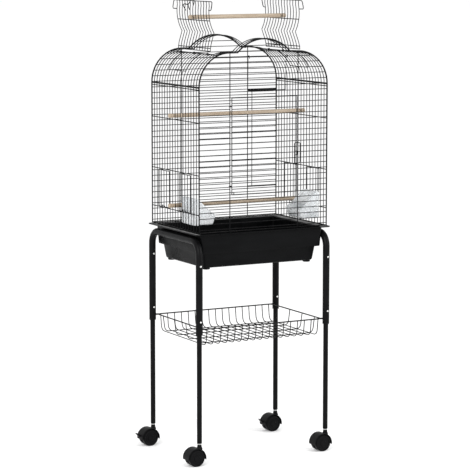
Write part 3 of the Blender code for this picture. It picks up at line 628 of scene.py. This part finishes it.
def front_door():
    """The front door: a bent frame, level wires, and two eyes round the left upright."""
    y = DOOR_Y
    post_y = -HALF_DEPTH - STIFFENER_RADIUS
    half = DOOR_HALF_WIDTH
    outline = [
        (-half, y, DOOR_BOTTOM_Z),
        (half, y, DOOR_BOTTOM_Z),
        (half, y, DOOR_TOP_Z),
        (-half, y, DOOR_TOP_Z),
    ]
    level = []
    for number in range(DOOR_WIRES[0], DOOR_WIRES[1] + 1):
        level.append([(-half, y, wire_z(number)), (half, y, wire_z(number))])
    top = [[(-half, y, DOOR_TOP_Z), (half, y, DOOR_TOP_Z)]]
    eyes = []
    tongues = []
    for z in DOOR_EYE_Z:
        for lift in (-0.0012, 0.0012):
            eyes.append(ring_about((-STIFFENER_X, post_y, z + lift), "z", DOOR_EYE_RADIUS))
        tongues.append([(-STIFFENER_X + 0.0015, post_y - 0.0025, z), (-half, y, z)])
    lugs = []
    for side in (-1, 1):
        lug_x = side * (half - 0.006)
        lugs.append([(lug_x, y - 0.002, DOOR_BOTTOM_Z), (lug_x, y - 0.002, DOOR_LUG_TOP_Z)])
    groups = [
        ([fillet(outline, 0.004, True)], DOOR_FRAME_RADIUS, True),
        (level, WIRE_RADIUS, False),
        (top, DOOR_TOP_RADIUS, False),
        (eyes, RING_WIRE_RADIUS, True),
        (tongues, 0.0011, False),
        (lugs, DOOR_FRAME_RADIUS, False),
    ]
    wires("front_door", groups)


def door_latch():
    """The sliding latch: a bent loop with a finger pull."""
    y = LATCH_Y
    left, right = LATCH_X
    low, high = LATCH_Z
    loop = [(left, y, low), (right, y, low), (right, y, high), (left, y, high)]
    pull_x, pull_y = DOOR_HALF_WIDTH, y - 0.0012
    low, high = PULL_Z
    pull = [(left, y, low), (pull_x, pull_y, low), (pull_x, pull_y, high), (left, y, high)]
    wires("door_latch", [([fillet(loop, 0.004, True)], 0.0012, True), ([fillet(pull, 0.003)], 0.001, False)])


# ---------------------------------------------------------------- roof


def shoulder_grille(node, side):
    """One shoulder: a rail over the side panel, curved wires, and the hinge rod they carry."""
    reach = HALF_DEPTH - BORDER_RADIUS
    rail = [[(side * HALF_WIDTH, -reach, SHOULDER_Z), (side * HALF_WIDTH, reach, SHOULDER_Z)]]
    strip_y = side_wire_y(STRIP_WIRES[-1])
    hinge = [[(side * HINGE_X, strip_y, HINGE_Z), (side * HINGE_X, -strip_y, HINGE_Z)]]
    start = math.atan2(HINGE_Z - SHOULDER_Z, HINGE_X - SHOULDER_X)
    shoulder = arc(SHOULDER_X, SHOULDER_Z, SHOULDER_RADIUS, 0, start, 12)
    infill = []
    for number in range(FLAP_WIRES[0], FLAP_WIRES[1] + 1):
        infill.append([(side * x, side_wire_y(number), z) for x, z in shoulder])
    wires(node, [(rail, RAIL_RADIUS, False), (hinge, HINGE_RADIUS, False), (infill, WIRE_RADIUS, False)])


def roof_strip(node, side):
    """The fixed strip of roof in front of or behind the flaps: two long wires and short cross wires."""
    strips = []
    for number in STRIP_WIRES:
        y = side * (HALF_DEPTH - SIDE_PITCH * number)
        strips.append([(x, y, z) for x, z in roof_profile()])
    cross = []
    inner = side * (HALF_DEPTH - SIDE_PITCH * STRIP_WIRES[-1])
    outer = side * (HALF_DEPTH - BORDER_RADIUS * 0.5)
    for x in STRIP_CROSS_X:
        z = profile_z(x) - 0.0015
        cross.append([(x, outer, z), (x, inner, z)])
    wires(node, [(strips, STRIP_RADIUS, False), (cross, WIRE_RADIUS, False)])


def flap_profile(turn, steps=8, bump_steps=14):
    """(x, z) points of the left flap opened by an angle, from its foot to its free edge."""
    foot_angle = math.atan2(HINGE_Z - SHOULDER_Z, SHOULDER_X - HINGE_X)
    half_angle = math.asin(CUSP_X / BUMP_RADIUS)
    closed = arc(-SHOULDER_X, SHOULDER_Z, SHOULDER_RADIUS, foot_angle, math.pi / 2, steps)
    closed += arc(0, BUMP_CENTRE_Z, BUMP_RADIUS, math.pi / 2 + half_angle, math.pi / 2 + 0.03, bump_steps)
    opened = []
    for x, z in closed:
        dx, dz = x + HINGE_X, z - HINGE_Z
        if math.hypot(dx, dz) < FLAP_HINGE_CLEARANCE:
            continue
        turned_x = dx * math.cos(turn) - dz * math.sin(turn)
        turned_z = dx * math.sin(turn) + dz * math.cos(turn)
        opened.append((turned_x - HINGE_X, turned_z + HINGE_Z))
    return opened


def point_at_height(profile, z):
    """The x of a profile at a height."""
    for (x0, z0), (x1, z1) in zip(profile, profile[1:]):
        if z0 <= z <= z1:
            return x0 + (x1 - x0) * (z - z0) / (z1 - z0)
    return profile[-1][0]


def roof_flap(node, side):
    """An open roof flap: wires up its height, bars along Y, an eared top edge, rings on the hinge rod."""
    profile = [(-side * x, z) for x, z in flap_profile(FLAP_OPEN[side])]
    lift = side * EDGE_LIFT
    top_x, top_z = profile[-1][0] + lift, profile[-1][1]
    edged = profile[:-2] + [(top_x, top_z)]
    edge_y = side_wire_y(FLAP_WIRES[1])
    foot_x, foot_z = profile[0]
    infill = []
    rings = []
    for number in range(FLAP_WIRES[0], FLAP_WIRES[1] + 1):
        y = side_wire_y(number)
        infill.append([(x, y, z) for x, z in edged])
        if number in FLAP_RING_WIRES:
            for turn_y in (y + 0.0024, y):
                rings.append(ring_about((side * HINGE_X, turn_y, HINGE_Z), "y", FLAP_RING_RADIUS))
    perch_bar_z = TOP_PERCH_Z - PERCH_RADIUS - 0.0006 - WIRE_RADIUS
    bar_x = point_at_height(profile, perch_bar_z)
    bars = [
        [(foot_x, -edge_y, foot_z), (foot_x, edge_y, foot_z)],
        [(foot_x, -edge_y, foot_z + 0.009), (foot_x, edge_y, foot_z + 0.009)],
        [(bar_x, -edge_y, perch_bar_z), (bar_x, edge_y, perch_bar_z)],
    ]
    ear_y = edge_y + EAR_REACH
    ear_z = top_z - EAR_DROP
    ear_x = point_at_height(profile, ear_z)
    half_edge = [
        (ear_x, edge_y, ear_z),
        (ear_x + lift, edge_y + 0.005, ear_z),
        (ear_x + lift, ear_y, ear_z),
        (top_x, ear_y, top_z),
    ]
    edge = [(x, -y, z) for x, y, z in half_edge] + half_edge[::-1]
    groups = [
        (infill, WIRE_RADIUS, False),
        (bars, WIRE_RADIUS * 1.15, False),
        ([fillet(edge, 0.008, steps=6)], FLAP_EDGE_RADIUS, False),
        (rings, RING_WIRE_RADIUS, True),
    ]
    wires(node, groups)


def flap_stay(node, side):
    """A U of wire that rests on the outside of the shoulder."""
    lift = WIRE_RADIUS * 2 + 0.0006
    start = math.atan2(HINGE_Z - SHOULDER_Z, HINGE_X - SHOULDER_X) - math.radians(4)
    curve = arc(SHOULDER_X, SHOULDER_Z, SHOULDER_RADIUS + lift, start, STAY_END_ANGLE, 8)
    half = STAY_HALF_WIDTH
    path = [(side * x, -half, z) for x, z in curve] + [(side * x, half, z) for x, z in reversed(curve)]
    wires(node, [([fillet(path, 0.006)], WIRE_RADIUS, False)])


def flap_latch():
    """The wire hook on the left flap's free edge."""
    top_x, top_z = flap_profile(FLAP_OPEN[-1])[-1]
    y = HOOK_Y

    def bent(steps):
        return [(top_x + dx, y, top_z + dz) for dx, dz in steps]

    paths = [fillet(bent(HOOK_MAIN), 0.005), fillet(bent(HOOK_TAIL), 0.005)]
    wires("flap_latch", [(paths, HOOK_RADIUS, False)])


# ---------------------------------------------------------------- furniture


def perch(node):
    """A turned dowel with rounded ends and a groove near each end that sits on the wires."""
    low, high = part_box(node)
    middle = middle_of(node)
    half = (high[0] - low[0]) / 2
    groove = half - 0.0165
    radius = PERCH_RADIUS
    end = [(half, radius * 0.55), (half - 0.0012, radius * 0.86), (half - 0.003, radius)]
    notch = [(groove + 0.0022, radius), (groove + 0.0014, radius * 0.84), (groove - 0.0014, radius * 0.84)]
    notch.append((groove - 0.0022, radius))
    right = end + notch
    profile = right + [(-along, size) for along, size in reversed(right)]

    def build(work):
        lathe(work, middle, (1, 0, 0), profile, 32)

    solid(node, build, WOOD, 40)


def swing():
    """The swing: a wire frame hooked over the front panel, and its bar."""
    z = wire_z(SWING_WIRE)
    y = -HALF_DEPTH

    def hook(x):
        return [
            (x, y - 0.0045, z - 0.005),
            (x, y - 0.0045, z + 0.0022),
            (x, y - 0.002, z + 0.0042),
            (x, y + 0.002, z + 0.0042),
            (x, y + 0.0045, z + 0.0022),
        ]

    left, right = SWING_X
    path = hook(left) + [(left, SWING_Y, SWING_BAR_Z), (right, SWING_Y, SWING_BAR_Z)] + hook(right)[::-1]
    wires("swing_frame", [([fillet(path, 0.004)], SWING_WIRE_RADIUS, False)])
    start, end = SWING_BAR_X
    half = (end - start) / 2
    middle = (CENTRE_X + (start + end) / 2, SWING_Y, SWING_BAR_Z)
    left_end = [(-half, 0.0018), (-half, 0.0030), (-half + 0.001, SWING_BAR_RADIUS)]
    profile = left_end + [(-along, size) for along, size in reversed(left_end)]

    def build(work):
        lathe(work, middle, (1, 0, 0), profile, 24)

    solid("swing_bar", build, CASTER_PLASTIC, 50)


def seed_cup(node, side):
    """A hooded seed cup: a thin moulded shell with soft edges, open towards the middle of the cage."""
    low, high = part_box(node)
    back = HALF_WIDTH - 0.0040
    front = back - CUP_DEPTH
    outline = [
        (front, CUP_LIP_Z),
        (front + 0.012, CUP_BOTTOM_Z),
        (back, CUP_BOTTOM_Z),
        (back, CUP_TOP_Z),
        (back - 0.012, CUP_TOP_Z),
        (front + 0.0235, CUP_LIP_Z + 0.0165),
    ]
    soft = [(p[0], p[2]) for p in fillet([(x, 0, z) for x, z in outline], 0.005, steps=4)]

    def build(work):
        rings = [(low[1], 1.0), (low[1] + 0.0008, 0.4), (low[1] + 0.003, 0.0)]
        rings += [(low[1] + high[1] - y, shrink) for y, shrink in reversed(rings)]
        centre_x = sum(x for x, z in soft) / len(soft)
        centre_z = sum(z for x, z in soft) / len(soft)
        made = []
        for y, shrink in rings:
            ring = []
            for x, z in soft:
                px = x + (centre_x - x) * 0.035 * shrink
                pz = z + (centre_z - z) * 0.045 * shrink
                ring.append(work.verts.new((CENTRE_X + side * px, y, pz)))
            made.append(ring)
        for first, second in zip(made, made[1:]):
            for index in range(len(soft) - 1):
                work.faces.new((first[index], first[index + 1], second[index + 1], second[index]))
        work.faces.new(made[0])
        work.faces.new(made[-1][::-1])

    cup = solid(node, build, CUP_PLASTIC, 40)
    wall = cup.modifiers.new("wall", "SOLIDIFY")
    wall.thickness = CUP_WALL * 0.8
    wall.offset = -1


# ---------------------------------------------------------------- base tray


def rounded_ring(half_x, half_y, radius, z, steps=8):
    """Points round a rectangle with rounded corners."""
    points = []
    for quarter, (sx, sy) in enumerate(((1, 1), (-1, 1), (-1, -1), (1, -1))):
        for step in range(steps + 1):
            angle = math.radians(90 * quarter + 90 * step / steps)
            x = sx * (half_x - radius) + radius * math.cos(angle)
            y = sy * (half_y - radius) + radius * math.sin(angle)
            points.append((x, y, z))
    return points


def base_tray():
    """The deep tray: a lip, a ledge half way down, a floor that bows down, and feet."""

    def build(work):
        rings = []
        for half_x, half_y, z in TRAY_RINGS:
            ring = rounded_ring(half_x, half_y, TRAY_CORNER, z)
            rings.append([work.verts.new((x + CENTRE_X, y, z)) for x, y, z in ring])
        count = len(rings[0])
        for upper, lower in zip(rings, rings[1:]):
            for index in range(count):
                after = (index + 1) % count
                work.faces.new((upper[index], lower[index], lower[after], upper[after]))
        low = TRAY_RINGS[-1][2] - TRAY_BOW
        inner = []
        for corner in rings[-1]:
            x = corner.co.x * TRAY_FLAT_SHARE + CENTRE_X * (1 - TRAY_FLAT_SHARE)
            inner.append(work.verts.new((x, corner.co.y * TRAY_FLAT_SHARE, low)))
        work.faces.new(inner)
        for index in range(count):
            after = (index + 1) % count
            work.faces.new((rings[-1][index], inner[index], inner[after], rings[-1][after]))

    tray = solid("base_tray", build, TRAY_PLASTIC, 32)
    wall = tray.modifiers.new("wall", "SOLIDIFY")
    wall.thickness = TRAY_WALL
    wall.offset = -1
    tray_feet()


def tray_feet():
    """Four low feet under the tray, as one piece beside it."""
    half_x, half_y, z = TRAY_RINGS[-1]
    mesh = bpy.data.meshes.new("tray_feet")
    work = bmesh.new()
    profile = [
        (-TRAY_FOOT_HEIGHT + 0.0002, TRAY_FOOT_RADIUS - 0.0015),
        (-TRAY_FOOT_HEIGHT + 0.001, TRAY_FOOT_RADIUS),
        (0.001, TRAY_FOOT_RADIUS + 0.0005),
    ]
    for sx in (-1, 1):
        for sy in (-1, 1):
            at = (CENTRE_X + sx * (half_x - TRAY_FOOT_RADIUS), sy * (half_y - TRAY_FOOT_RADIUS), z)
            lathe(work, at, (0, 0, 1), profile, 28)
    bmesh.ops.recalc_face_normals(work, faces=work.faces)
    work.to_mesh(mesh)
    work.free()
    mesh.shade_smooth()
    mesh.set_sharp_from_angle(angle=math.radians(40))
    mesh.materials.append(TRAY_PLASTIC)
    piece = bpy.data.objects.new("tray_feet", mesh)
    bpy.context.scene.collection.objects.link(piece)
    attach(piece, BODY["base_tray"])


# ---------------------------------------------------------------- stand


def stand_frame(node):
    """One side's upper tube, bent into an upside-down U."""
    low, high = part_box(node)
    x = (low[0] + high[0]) / 2
    leg_y = high[1] - FRAME_TUBE_RADIUS
    rail_z = high[2] - FRAME_TUBE_RADIUS
    bent = [(x, -leg_y, low[2])]
    steps = 14
    for sign in (-1, 1):
        for step in range(steps + 1):
            share = step / steps if sign < 0 else 1 - step / steps
            angle = math.pi / 2 * share
            y = sign * (leg_y - FRAME_BEND + FRAME_BEND * math.cos(angle))
            bent.append((x, y, rail_z - FRAME_BEND + FRAME_BEND * math.sin(angle)))
    bent.append((x, leg_y, low[2]))
    wires(node, [([bent], FRAME_TUBE_RADIUS, False)], resolution=8, offset=0.0)


def lower_leg(node):
    """A thinner leg tube, with a rolled lower end."""
    low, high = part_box(node)
    middle = middle_of(node)
    radius = (high[0] - low[0]) / 2
    half = (high[2] - low[2]) / 2
    profile = [
        (-half, radius * 0.8),
        (-half + 0.0004, radius * 0.94),
        (-half + 0.0015, radius),
        (half, radius),
    ]

    def build(work):
        lathe(work, middle, (0, 0, 1), profile, 40)

    solid(node, build, COAT, 50)


def leg_screw(node):
    """A domed screw head with a round recess."""
    low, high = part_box(node)
    middle = middle_of(node)
    radius = (high[0] - low[0]) / 2
    height = high[1] - low[1]
    profile = [
        (-height / 2, radius),
        (-height / 2 + 0.0005, radius),
        (height * 0.15, radius * 0.86),
        (height * 0.38, radius * 0.6),
        (height * 0.46, radius * 0.34),
        (height * 0.46, radius * 0.26),
        (-height * 0.05, radius * 0.12),
    ]

    def build(work):
        lathe(work, middle, (0, -1, 0), profile, 24)

    solid(node, build, ZINC, 50)


def collar(node):
    """The bright washer between a caster and its leg."""
    low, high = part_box(node)
    radius = (high[0] - low[0]) / 2
    half = (high[2] - low[2]) / 2
    profile = [(-half, radius * 0.9), (-half * 0.6, radius), (half * 0.6, radius), (half, radius * 0.9)]

    def build(work):
        lathe(work, middle_of(node), (0, 0, 1), profile, 32)

    solid(node, build, ZINC, 50)


def basket():
    """The wire basket: a rim on stubs at the legs, wires front to back, and long wires under them."""
    rim = rounded_ring(BASKET_HALF_X, BASKET_HALF_Y, BASKET_CORNER, BASKET_RIM_Z)
    count = BASKET_SHORT_WIRES - 1
    floor_y = BASKET_HALF_Y - BASKET_INSET
    short = []
    for number in range(count + 1):
        x = (number - count / 2) * BASKET_PITCH
        path = [
            (x, -BASKET_HALF_Y, BASKET_RIM_Z),
            (x, -floor_y, BASKET_FLOOR_Z),
            (x, floor_y, BASKET_FLOOR_Z),
            (x, BASKET_HALF_Y, BASKET_RIM_Z),
        ]
        short.append(fillet(path, 0.02, steps=6))
    floor_x = BASKET_HALF_X - BASKET_INSET
    long_z = BASKET_FLOOR_Z + BASKET_WIRE_RADIUS * 1.4
    long_wires = []
    for y in BASKET_LONG_Y:
        path = [
            (-BASKET_HALF_X, y, BASKET_RIM_Z),
            (-floor_x, y, long_z),
            (floor_x, y, long_z),
            (BASKET_HALF_X, y, BASKET_RIM_Z),
        ]
        long_wires.append(fillet(path, 0.016, steps=6))
    stubs = []
    for sx in (-1, 1):
        for sy in (-1, 1):
            inner = Vector((sx * (BASKET_HALF_X - 0.0035), sy * (BASKET_HALF_Y - 0.0035), BASKET_RIM_Z))
            toward = Vector((sx * LEG_X, sy * LEG_Y, BASKET_RIM_Z)) - inner
            outer = inner + toward * (1 - (FRAME_TUBE_RADIUS - 0.001) / toward.length)
            stubs.append([tuple(inner), tuple(outer)])
    groups = [
        ([rim], BASKET_RIM_RADIUS, True),
        (short, BASKET_WIRE_RADIUS, False),
        (long_wires, BASKET_WIRE_RADIUS, False),
        (stubs, BASKET_RIM_RADIUS * 1.3, False),
    ]
    wires("basket", groups)


# ---------------------------------------------------------------- casters


def caster_hood(node, x, y):
    """A caster's turning half: a round hood over both wheels, a middle web and a tapered stem."""
    cx = x - CASTER_TRAIL
    half = WHEEL_WIDTH + WHEEL_GAP / 2
    outer = arc(cx, WHEEL_RADIUS, HOOD_RADIUS, math.radians(-9), math.radians(189), 40)
    inner = arc(cx, WHEEL_RADIUS, HOOD_RADIUS - HOOD_WALL, math.radians(189), math.radians(-9), 40)
    web = arc(cx, WHEEL_RADIUS, HOOD_RADIUS - HOOD_WALL * 0.6, math.radians(-8), math.radians(188), 36)
    web += [(cx - 0.008, WHEEL_RADIUS - 0.009), (cx + 0.008, WHEEL_RADIUS - 0.009)]
    stem = [
        (0.0, STEM_RADIUS + 0.0035),
        (0.005, STEM_RADIUS + 0.0025),
        (0.009, STEM_RADIUS + 0.0008),
        (0.0155, STEM_RADIUS),
    ]
    base = WHEEL_RADIUS + 0.024

    def build(work):
        extrude_outline(work, outer + inner, y - half, y + half)
        extrude_outline(work, web, y - WEB_WIDTH / 2, y + WEB_WIDTH / 2)
        lathe(work, (x, y, base), (0, 0, 1), stem, 32)

    solid(node, build, CASTER_PLASTIC, 30, bevel=0.0007)


def caster_wheels(node, x, y):
    """Two wheels with rounded treads and dished hubs, on one axle."""
    centre = (x - CASTER_TRAIL, y, WHEEL_RADIUS)
    inner = WHEEL_GAP / 2 + 0.0006
    outer = inner + WHEEL_WIDTH - 0.0012
    radius = WHEEL_RADIUS
    right = [
        (inner, AXLE_RADIUS),
        (inner, radius * 0.93),
        (inner + 0.002, radius),
        (outer - 0.0025, radius),
        (outer - 0.0006, radius * 0.94),
        (outer, radius * 0.84),
        (outer - 0.0004, radius * 0.80),
        (outer - 0.0022, radius * 0.76),
        (outer - 0.0022, radius * 0.40),
        (outer - 0.0004, radius * 0.36),
        (outer - 0.0004, radius * 0.1),
    ]
    profile = [(-along, size) for along, size in reversed(right)] + right

    def build(work):
        lathe(work, centre, (0, 1, 0), profile, 56)

    solid(node, build, CASTER_PLASTIC, 32)


def brake_lever(node, x, y):
    """A small brake lever behind a rear caster's hood."""
    cx = x - CASTER_TRAIL - HOOD_RADIUS - 0.0009
    outline = [
        (cx, 0.031),
        (cx - 0.002, 0.039),
        (cx - 0.011, 0.044),
        (cx - 0.012, 0.041),
        (cx - 0.004, 0.031),
    ]

    def build(work):
        extrude_outline(work, outline, y - 0.007, y + 0.007)

    solid(node, build, CASTER_PLASTIC, 30, bevel=0.0005)


# ---------------------------------------------------------------- assembly and studio


def build_cage():
    end_panel("front_panel", -HALF_DEPTH, True)
    back_panel()
    front_door()
    door_latch()
    roof_strip("front_roof_strip", -1)
    roof_strip("back_roof_strip", 1)
    flap_latch()
    swing()
    for node in ("top_perch", "middle_perch", "lower_perch"):
        perch(node)
    for word, side in (("left", -1), ("right", 1)):
        side_panel(f"{word}_side_panel", side)
        shoulder_grille(f"{word}_shoulder_grille", side)
        roof_flap(f"{word}_flap", side)
        flap_stay(f"{word}_flap_stay", side)
        seed_cup(f"{word}_seed_cup", side)
        for where, numbers in zip(("front", "back"), FEEDER_WIRES):
            feeder_door(f"{where}_{word}_feeder_door", side, numbers)


def build_stand():
    basket()
    for word in ("left", "right"):
        stand_frame(f"{word}_stand_frame")
        for where in ("front", "back"):
            corner = f"{where}_{word}"
            leg = middle_of(f"{corner}_leg")
            lower_leg(f"{corner}_leg")
            leg_screw(f"{corner}_upper_screw")
            leg_screw(f"{corner}_lower_screw")
            collar(f"{corner}_caster_collar")
            caster_hood(f"{corner}_caster_hood", leg.x, leg.y)
            caster_wheels(f"{corner}_caster_wheels", leg.x, leg.y)
            if where == "back":
                brake_lever(f"{corner}_brake_lever", leg.x, leg.y)


def studio_floor():
    mesh = bpy.data.meshes.new("studio_floor")
    work = bmesh.new()
    bmesh.ops.create_circle(work, cap_ends=True, segments=64, radius=60.0)
    work.to_mesh(mesh)
    work.free()
    mesh.materials.append(pale_floor())
    floor = bpy.data.objects.new("studio_floor", mesh)
    bpy.context.scene.collection.objects.link(floor)


def softbox(name, place_at, size, power):
    data = bpy.data.lights.new(name, "AREA")
    data.shape = "RECTANGLE"
    data.size, data.size_y = size
    data.energy = power
    lamp = bpy.data.objects.new(name, data)
    lamp.location = place_at
    lamp.rotation_mode = "QUATERNION"
    lamp.rotation_quaternion = (Vector((0, 0, AIM_HEIGHT)) - Vector(place_at)).to_track_quat("-Z", "Y")
    bpy.context.scene.collection.objects.link(lamp)


def studio_light():
    world = bpy.data.worlds.new("studio")
    world.use_nodes = True
    background = world.node_tree.nodes["Background"]
    background.inputs["Color"].default_value = (1.0, 1.0, 1.0, 1.0)
    background.inputs["Strength"].default_value = WORLD_STRENGTH
    bpy.context.scene.world = world
    bpy.context.scene.view_settings.view_transform = "Standard"
    softbox("left_softbox", (-3.2, -2.6, 2.6), (1.6, 2.6), LEFT_POWER)
    softbox("right_softbox", (3.0, -3.0, 2.2), (1.4, 2.4), RIGHT_POWER)


def studio_camera():
    data = bpy.data.cameras.new("camera")
    data.sensor_width = 36.0
    data.lens = CAMERA_LENS
    data.shift_x = CAMERA_SHIFT_X
    data.clip_end = 200.0
    camera = bpy.data.objects.new("camera", data)
    flat = math.cos(CAMERA_PITCH)
    back = Vector((math.sin(CAMERA_AZIMUTH) * flat, -math.cos(CAMERA_AZIMUTH) * flat, math.sin(CAMERA_PITCH)))
    target = Vector(CAMERA_TARGET) + Vector((CENTRE_X, 0, 0))
    camera.location = target + back * CAMERA_DISTANCE
    camera.rotation_mode = "QUATERNION"
    camera.rotation_quaternion = (-back).to_track_quat("-Z", "Y")
    bpy.context.scene.collection.objects.link(camera)
    bpy.context.scene.camera = camera


build_cage()
base_tray()
build_stand()
studio_floor()
studio_light()
studio_camera()
